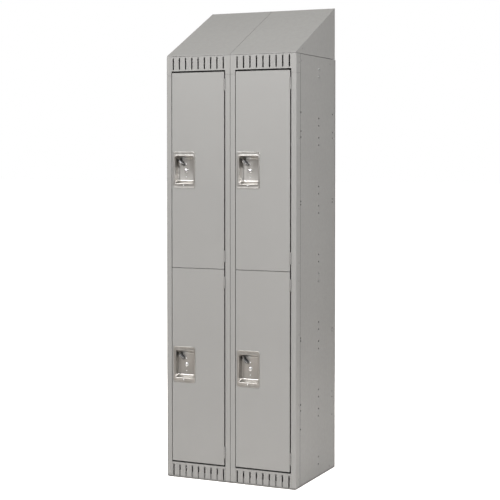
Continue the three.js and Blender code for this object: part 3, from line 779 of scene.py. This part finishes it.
def add_cups():
    """In each door the drawn cup, its fixed plate, the lock cap and three rivets."""
    shell = cup_shell()
    lug_ear = ear()
    lock_cap = cap_profile()
    for key in KEYS:
        centre = middle(f"cup_{key}")
        origin = Vector((centre.x, FACE_Y, centre.z))
        body = f"door_{key}"
        made = piece(f"drawn_cup_{key}", moved(shell, origin), body, "stainless_cup", smooth_below=50)
        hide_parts(f"cup_{key}")
        piece(f"cup_ear_{key}", moved(lug_ear, origin), body, "stainless_cup")
        cap_place = origin + Vector((mm(LOCK_X), mm(CUP_FLOOR), mm(LOCK_Z)))
        stem = lathe("stem", rod(CAP_STEM, -0.8, 0.1), cap_place, FORWARD)
        head = lathe("head", lock_cap, cap_place, FORWARD, 48)
        cap = piece(f"lock_cap_{key}", merged(f"lock_cap_{key}", [head, stem]), body, "chrome_plug")
        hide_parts(f"plug_{key}")
        for name, z in (("upper", LOCK_Z + RIVET_STEP), ("lower", LOCK_Z - RIVET_STEP)):
            place = origin + Vector((mm(LOCK_X), mm(CUP_FLOOR), mm(z)))
            head = lathe(f"rivet_{name}_{key}", GUIDE_RIVET, place, FORWARD)
            piece(f"guide_rivet_{name}_{key}", head, body, "chrome_plug")
        place = origin + Vector([mm(value) for value in FLANGE_RIVET])
        rivet = lathe(f"flange_rivet_{key}", FLANGE_RIVET_HEAD, place, FORWARD)
        piece(f"flange_rivet_{key}", rivet, body, "chrome_plug")


# ---- Hinges ----

KNUCKLES = 5
KNUCKLE_GAP = 0.3  # between two knuckles, and half of it at each end of the barrel
KNUCKLE_RADIUS = 2.5
CHAMFER = 0.35
BORES = {"frame": 1.2, "door": 1.6}
PIN_RADIUS = 1.1
PIN_SHORT = 0.6  # how far the pin stops inside each end of the barrel
LEAF_GAUGE = 1.5
STRAP_REACH = 3.2
LEAF_START = 2.4  # from the pin back to the leaf's flat part


def hinge_lines():
    """Where each door's pin stands, from the record's joints."""
    lines = {}
    for joint in frame["record"]["behaviour"]["joints"]:
        if joint["name"].startswith("door_hinge_"):
            lines[joint["name"].removeprefix("door_hinge_")] = joint["pos_m"][0]
    return lines


def knuckle(index, pitch, bore):
    """One turned knuckle with chamfered ends, from its place in the barrel."""
    low = index * pitch + KNUCKLE_GAP / 2
    high = (index + 1) * pitch - KNUCKLE_GAP / 2
    inner = KNUCKLE_RADIUS - CHAMFER
    profile = [(bore, low), (inner, low), (KNUCKLE_RADIUS, low + CHAMFER)]
    profile += [(KNUCKLE_RADIUS, high - CHAMFER), (inner, high), (bore, high), (bore, low)]
    return profile


def strap(wall, pin_y, foot, start, pitch):
    """The short tongue of a leaf that runs into its knuckle."""
    low = foot + mm(start + KNUCKLE_GAP / 2)
    high = foot + mm(start + pitch - KNUCKLE_GAP / 2)
    return block((wall, pin_y, low), (wall + mm(LEAF_GAUGE), pin_y + mm(STRAP_REACH), high))


def flat_leaf(wall, front, back, foot, height):
    low = (wall, front, foot + mm(KNUCKLE_GAP / 2))
    high = (wall + mm(LEAF_GAUGE), back, foot + mm(height - KNUCKLE_GAP / 2))
    return block(low, high, 0.3)


def add_hinges():
    """Two hinges to a door: the frame's leaf has every other knuckle, the door's leaf the rest."""
    pins = hinge_lines()
    for key in KEYS:
        for end in ENDS:
            nodes = {owner: f"hinge_{owner}_leaf_{key}_{end}" for owner in BORES}
            frame_low, frame_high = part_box(nodes["frame"])
            foot = frame_low.z - mm(KNUCKLE_GAP / 2)
            height = (frame_high.z - frame_low.z) * 1000 + KNUCKLE_GAP
            pitch = height / KNUCKLES
            pin_y = frame_low.y + mm(KNUCKLE_RADIUS)
            barrel_foot = Vector((pins[key], pin_y, foot))
            walls = {"frame": frame_high.x - mm(LEAF_GAUGE), "door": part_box(nodes["door"])[0].x}
            for first, (owner, wall) in enumerate(walls.items()):
                parts = []
                for index in range(first, KNUCKLES, 2):
                    profile = knuckle(index, pitch, BORES[owner])
                    parts.append(lathe("knuckle", profile, barrel_foot, UP, 28))
                    parts.append(strap(wall, pin_y, foot, index * pitch, pitch))
                leaf_front = pin_y + mm(LEAF_START)
                parts.append(flat_leaf(wall, leaf_front, frame_high.y, foot, height))
                name = f"{owner}_leaf_{key}_{end}"
                body = "frame" if owner == "frame" else f"door_{key}"
                made = piece(name, merged(name, parts), body, "hinge_enamel")
                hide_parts(nodes[owner])
            pin = lathe("pin", rod(PIN_RADIUS, PIN_SHORT, height - PIN_SHORT), barrel_foot, UP, 16)
            piece(f"hinge_pin_{key}_{end}", pin, "frame", "zinc_latch")


# ---- Fasteners on the ends, the back and the hood ----
# Millimetres: on an end, y back from the doors' front and z up from the floor.

OUTER_UPRIGHT = {"left": "upright_left_latch_side", "right": "upright_right_hinge_side"}
OUTWARD = {"left": LEFT, "right": RIGHT}
SHEET_RIVET = dome(3.0, 1.0)
CORNER_RIVET = dome(3.0, 0.9)
HOOD_RIVET = dome(2.6, 0.9)
SIDE_FLANGE = 44.0  # how far back the outer flange reaches
FLANGE_RIVET_LINE = 32
FLANGE_RIVETS = (38, 265, 560, 877)  # above and below half height
CORNER_RIVETS = ((32, 1815), (62, 1800), (395, 1806), (62, 14), (395, 18))
SHELF_LINE = 260
SHELF_SCREWS = (1774, 1742, 889, 857)
SCREW_HEAD = [(0, 0), (5.2, 0), (5.2, 0.5), (4.6, 1.2), (3.0, 1.8), (1.3, 2.0), (1.3, 1.2), (0, 1.2)]
SCREW_STEM = rod(2.4, -6, 0.1)


def add_side_fasteners():
    """Rivet heads along the outer flanges and at the corners, and the shelves' screws."""
    half_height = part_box("end_panel_right")[1].z / 2
    for side in SIDES:
        flange_x = end_face(OUTER_UPRIGHT[side], side)
        panel_x = end_face(f"end_panel_{side}", side)
        facing = OUTWARD[side]
        heads = []
        for offset in FLANGE_RIVETS:
            for way in (1, -1):
                place = (flange_x, FACE_Y + mm(FLANGE_RIVET_LINE), half_height + way * mm(offset))
                heads.append(lathe("head", SHEET_RIVET, place, facing, 20))
        for y, z in CORNER_RIVETS:
            place = (flange_x if y < SIDE_FLANGE else panel_x, FACE_Y + mm(y), mm(z))
            heads.append(lathe("head", CORNER_RIVET, place, facing, 20))
        name = f"side_rivets_{side}"
        piece(name, merged(name, heads), "frame", "body_enamel")
        screws = []
        for z in SHELF_SCREWS:
            place = (panel_x, FACE_Y + mm(SHELF_LINE), mm(z))
            screws.append(lathe("screw", SCREW_HEAD, place, facing, 24))
            screws.append(lathe("stem", SCREW_STEM, place, facing, 16))
        name = f"shelf_screws_{side}"
        piece(name, merged(name, screws), "frame", "zinc_latch")


# A painted shadow: a dark strip on each end panel where the outer flange's lap casts shade.
LAP_SHADOW_WIDTH = 3.0
LAP_SHADOW_SUNK = 0.25  # below the flange's face
LAP_SHADOW_ROOT = 0.1  # into the end panel
LAP_SHADOW_TUCK = 0.2  # under the flange's edge
LAP_SHADOW_SHORT = (0.5, 1)  # at the foot and at the top


def add_side_lap_shadows():
    """A painted shadow: a dark strip along the step where each outer flange laps over its end panel,
    where the lap casts shade.
    """
    for side in SIDES:
        flange, panel = OUTER_UPRIGHT[side], f"end_panel_{side}"
        outward = OUTWARD[side][0]
        face = end_face(flange, side) - outward * mm(LAP_SHADOW_SUNK)
        root = end_face(panel, side) - outward * mm(LAP_SHADOW_ROOT)
        front = FACE_Y + mm(SIDE_FLANGE) - mm(LAP_SHADOW_TUCK)
        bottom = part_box(flange)[0].z + mm(LAP_SHADOW_SHORT[0])
        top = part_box(panel)[1].z - mm(LAP_SHADOW_SHORT[1])
        low = (min(face, root), front, bottom)
        shadow_strip = block(low, (max(face, root), front + mm(LAP_SHADOW_WIDTH), top), 0.3)
        # Painted shadow, drawn in the black rubber material.
        piece(f"side_lap_shadow_{side}", shadow_strip, "frame", "bumper_rubber")


BACK_ROWS = 9
BACK_MARGIN = 40  # from a back panel's end to its first and last row
BACK_EDGE = 9
BACK_SHELF_DROP = 6  # from the mid shelf's top to its row of rivets
BACK_SHELF_SHARES = (0.25, 0.5, 0.75)


def add_back_fasteners():
    """Rivets down both edges of each back panel, and a row of three into the mid shelf."""
    for side in SIDES:
        low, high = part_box(f"back_panel_{side}")
        places = []
        for row in range(BACK_ROWS):
            rise = (high.z - low.z - mm(2 * BACK_MARGIN)) * row / (BACK_ROWS - 1)
            z = low.z + mm(BACK_MARGIN) + rise
            places += [(low.x + mm(BACK_EDGE), z), (high.x - mm(BACK_EDGE), z)]
        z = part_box(f"mid_shelf_{side}")[1].z - mm(BACK_SHELF_DROP)
        places += [(low.x + (high.x - low.x) * share, z) for share in BACK_SHELF_SHARES]
        heads = [lathe("head", SHEET_RIVET, (x, high.y, z), BACKWARD, 20) for x, z in places]
        name = f"back_rivets_{side}"
        piece(name, merged(name, heads), "frame", "body_enamel")


HOOD_END_RIVETS = ((18, 190), (18, 20), (380, 22))  # forward from the back, up from the hood's foot
HOOD_BACK_ROWS = (12, 212)
HOOD_BACK_SHARES = (0.12, 0.5, 0.88)


def add_hood_fasteners():
    """Rivets on both ends of the hood, and in two rows across its back."""
    for side in SIDES:
        end_x = end_face(f"slope_end_{side}", side)
        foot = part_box(f"slope_end_{side}")[0].z
        low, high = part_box(f"slope_panel_{side}")
        heads = []
        for forward, up in HOOD_END_RIVETS:
            place = (end_x, high.y - mm(forward), foot + mm(up))
            heads.append(lathe("head", HOOD_RIVET, place, OUTWARD[side], 20))
        for share in HOOD_BACK_SHARES:
            for up in HOOD_BACK_ROWS:
                place = (low.x + (high.x - low.x) * share, high.y, foot + mm(up))
                heads.append(lathe("head", HOOD_RIVET, place, BACKWARD, 20))
        name = f"hood_rivets_{side}"
        piece(name, merged(name, heads), "frame", "body_enamel")


# ---- Fittings inside ----

# Coat hooks: wires as (x, y, z) from the hook's foot, plates as reaches from it.
CEILING_WIRE = [(0, 6, -1), (0, 8, -26), (0, 18, -48), (0, 34, -52), (0, 42, -38)]
CEILING_PLATE = {"x": 9, "y": 22, "gauge": 2}
CEILING_INSET = 0.9  # the sheet above a compartment
CEILING_BACK = 20  # behind the middle of the depth
WALL_WIRE = [(0, -1, 4), (0, -14, 0), (0, -28, -8), (0, -36, 4), (0, -38, 18)]
WALL_PLATE = {"x": 8, "z": 16, "gauge": 2}
WALL_INSET_Y = 1.0
WALL_DROP = 150  # below the ceiling
WALL_SHARES = (0.25, 0.75)
WIRE_RADIUS = 2.4
WIRE_BALL = ball(3.8)
PLATE_SOFT = 0.6


def wire(path, foot, way=1):
    """A bent rod with a ball on its end. `way` turns its path to the front or the back."""
    points = [(foot[0] + mm(x), foot[1] + way * mm(y), foot[2] + mm(z)) for x, y, z in path]
    curve = bpy.data.curves.new("wire", "CURVE")
    curve.dimensions = "3D"
    curve.bevel_depth = mm(WIRE_RADIUS)
    curve.bevel_resolution = 4
    curve.resolution_u = 8
    curve.use_fill_caps = True
    spline = curve.splines.new("BEZIER")
    spline.bezier_points.add(len(points) - 1)
    for knot, place in zip(spline.bezier_points, points):
        knot.co = place
        knot.handle_left_type = knot.handle_right_type = "AUTO"
    made = bpy.data.objects.new("wire", curve)
    mesh = bpy.data.meshes.new_from_object(made)
    bpy.data.objects.remove(made)
    bpy.data.curves.remove(curve)
    tip = lathe("tip", WIRE_BALL, points[-1], Vector(points[-1]) - Vector(points[-2]), 20)
    return merged("wire", [mesh, tip])


def ceiling_hook(x, y, top):
    """A plate with a prong to the front and one to the back."""
    wide, deep = mm(CEILING_PLATE["x"]), mm(CEILING_PLATE["y"])
    low = (x - wide, y - deep, top - mm(CEILING_PLATE["gauge"]))
    foot = (x, y, top)
    prongs = [wire(CEILING_WIRE, foot, way) for way in (-1, 1)]
    return [block(low, (x + wide, y + deep, top), PLATE_SOFT), *prongs]


def wall_hook(x, y, z):
    """A plate on the back wall with one prong."""
    wide, tall = mm(WALL_PLATE["x"]), mm(WALL_PLATE["z"])
    low = (x - wide, y - mm(WALL_PLATE["gauge"]), z - tall)
    return [block(low, (x + wide, y, z + tall), PLATE_SOFT), wire(WALL_WIRE, (x, y, z))]


def add_coat_hooks():
    """A double hook under each compartment's ceiling and two hooks on its back wall."""
    for side in SIDES:
        low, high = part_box(f"back_panel_{side}")
        for level, roof in (("upper", "top_panel"), ("lower", "mid_shelf")):
            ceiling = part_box(f"{roof}_{side}")[1].z
            y = (FACE_Y + high.y) / 2 + mm(CEILING_BACK)
            parts = ceiling_hook((low.x + high.x) / 2, y, ceiling - mm(CEILING_INSET))
            name = f"ceiling_hook_{level}_{side}"
            piece(name, merged(name, parts), "frame", "zinc_latch")
            parts = []
            for share in WALL_SHARES:
                x = low.x + (high.x - low.x) * share
                parts += wall_hook(x, low.y - mm(WALL_INSET_Y), ceiling - mm(WALL_DROP))
            name = f"wall_hooks_{level}_{side}"
            piece(name, merged(name, parts), "frame", "zinc_latch")


STIFFENER = [(-28, 0), (-16, 0), (-13, 13), (13, 13), (16, 0), (28, 0)]  # x, y of its section
STIFFENER_GAUGE = 1.0
STIFFENER_SHORT = 14  # at each end of the door
DOOR_SKIN = 1.4  # from the door's face to the stiffener


def add_stiffeners():
    """A folded channel down the inside of each door, between the cup and the hinges."""
    for key in KEYS:
        low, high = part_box(f"door_{key}")
        x = (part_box(f"cup_{key}")[1].x + high.x) / 2
        y = FACE_Y + mm(DOOR_SKIN)
        section = [(x + mm(right), y + mm(back)) for right, back in STIFFENER]
        for right, back in reversed(STIFFENER):
            section.append((x + mm(right), y + mm(back + STIFFENER_GAUGE)))
        heights = (low.z + mm(STIFFENER_SHORT), high.z - mm(STIFFENER_SHORT))
        shape = loft([[(*point, z) for point in section] for z in heights])
        bmesh.ops.triangulate(shape, faces=[face for face in shape.faces if len(face.verts) > 4])
        mesh = finished("stiffener", shape)
        made = piece(f"door_stiffener_{key}", mesh, f"door_{key}", "door_enamel")
        edges = made.modifiers.new("edges", "BEVEL")
        edges.width = mm(0.4)
        edges.segments = 2
        edges.angle_limit = math.radians(30)


BUMPER = [(0, -1.5), (1.6, -1.5), (1.6, 0), (3.6, 0), (3.6, 0.15), (3.2, 0.3), (0, 0.35)]
BUMPER_FROM_END = 120
BUMPER_SEAT = (5, 20.5)  # in from the upright's edge, and back from the doors' front to its stop
RIVET_TAIL = dome(4.2, 1.6)
RIVET_SHANK = rod(2.1, -3.2, 0.1)
TAIL_Y = 26.6


def add_bumpers():
    """For each door two rubber buttons on the stop, and the tails of its guide rivets."""
    for key in KEYS:
        side = key.split("_")[1]
        stop_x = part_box(f"upright_{side}_latch_side")[1].x
        low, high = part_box(f"door_{key}")
        inset, back = BUMPER_SEAT
        buttons = []
        for z in (low.z + mm(BUMPER_FROM_END), high.z - mm(BUMPER_FROM_END)):
            place = (stop_x - mm(inset), FACE_Y + mm(back), z)
            buttons.append(lathe("button", BUMPER, place, FORWARD, 24))
        name = f"door_bumpers_{key}"
        piece(name, merged(name, buttons), "frame", "bumper_rubber")
        centre = middle(f"cup_{key}")
        tails = []
        for z in (LOCK_Z + RIVET_STEP, LOCK_Z - RIVET_STEP):
            place = (centre.x + mm(LOCK_X), FACE_Y + mm(TAIL_Y), centre.z + mm(z))
            tails.append(lathe("tail", RIVET_TAIL, place, BACKWARD, 24))
            tails.append(lathe("shank", RIVET_SHANK, place, BACKWARD, 16))
        name = f"rivet_tails_{key}"
        piece(name, merged(name, tails), f"door_{key}", "zinc_latch")


# ---- CAD nodes ----


# Width of the softened edges in mm, by how a node's name starts.
SOFT_EDGES = {
    "upright": 0.5,
    "header": 0.5,
    "kick_plate": 0.5,
    "mid_rail": 0.5,
    "door": 0.4,
    "latch": 0.4,
    "slope_panel": 0.3,
    "slope_end": 0.3,
    "back_panel": 0.25,
    "end_panel": 0.25,
}


def soften(made, width):
    """Rounds a CAD node's sheet edges without touching its mesh."""
    weld = made.modifiers.new("weld", "WELD")
    weld.merge_threshold = mm(0.01)
    flat = made.modifiers.new("flat", "DECIMATE")
    flat.decimate_type = "DISSOLVE"
    flat.angle_limit = math.radians(0.5)
    bevel = made.modifiers.new("bevel", "BEVEL")
    bevel.width = mm(width)
    bevel.segments = 2
    bevel.limit_method = "ANGLE"
    bevel.angle_limit = math.radians(30)


def finish_cad_nodes():
    """Each CAD node gets its own slot's material, and those named in SOFT_EDGES get softened edges.
    """
    slots = {entry["node"]: entry["material_slot"] for entry in frame["record"]["subparts"]}
    for node, made in NODES.items():
        made.data.materials.clear()
        made.data.materials.append(MATERIALS[slots[node]])
        for start, width in SOFT_EDGES.items():
            if node.startswith(start):
                soften(made, width)


# ---- Build ----

add_camera()
add_world()
add_floor()
for softbox in LIGHTS:
    add_softbox(*softbox)
finish_cad_nodes()
add_cups()
add_hinges()
add_side_fasteners()
add_side_lap_shadows()
add_back_fasteners()
add_hood_fasteners()
add_coat_hooks()
add_stiffeners()
add_bumpers()

bpy.context.scene.view_settings.view_transform = "Standard"
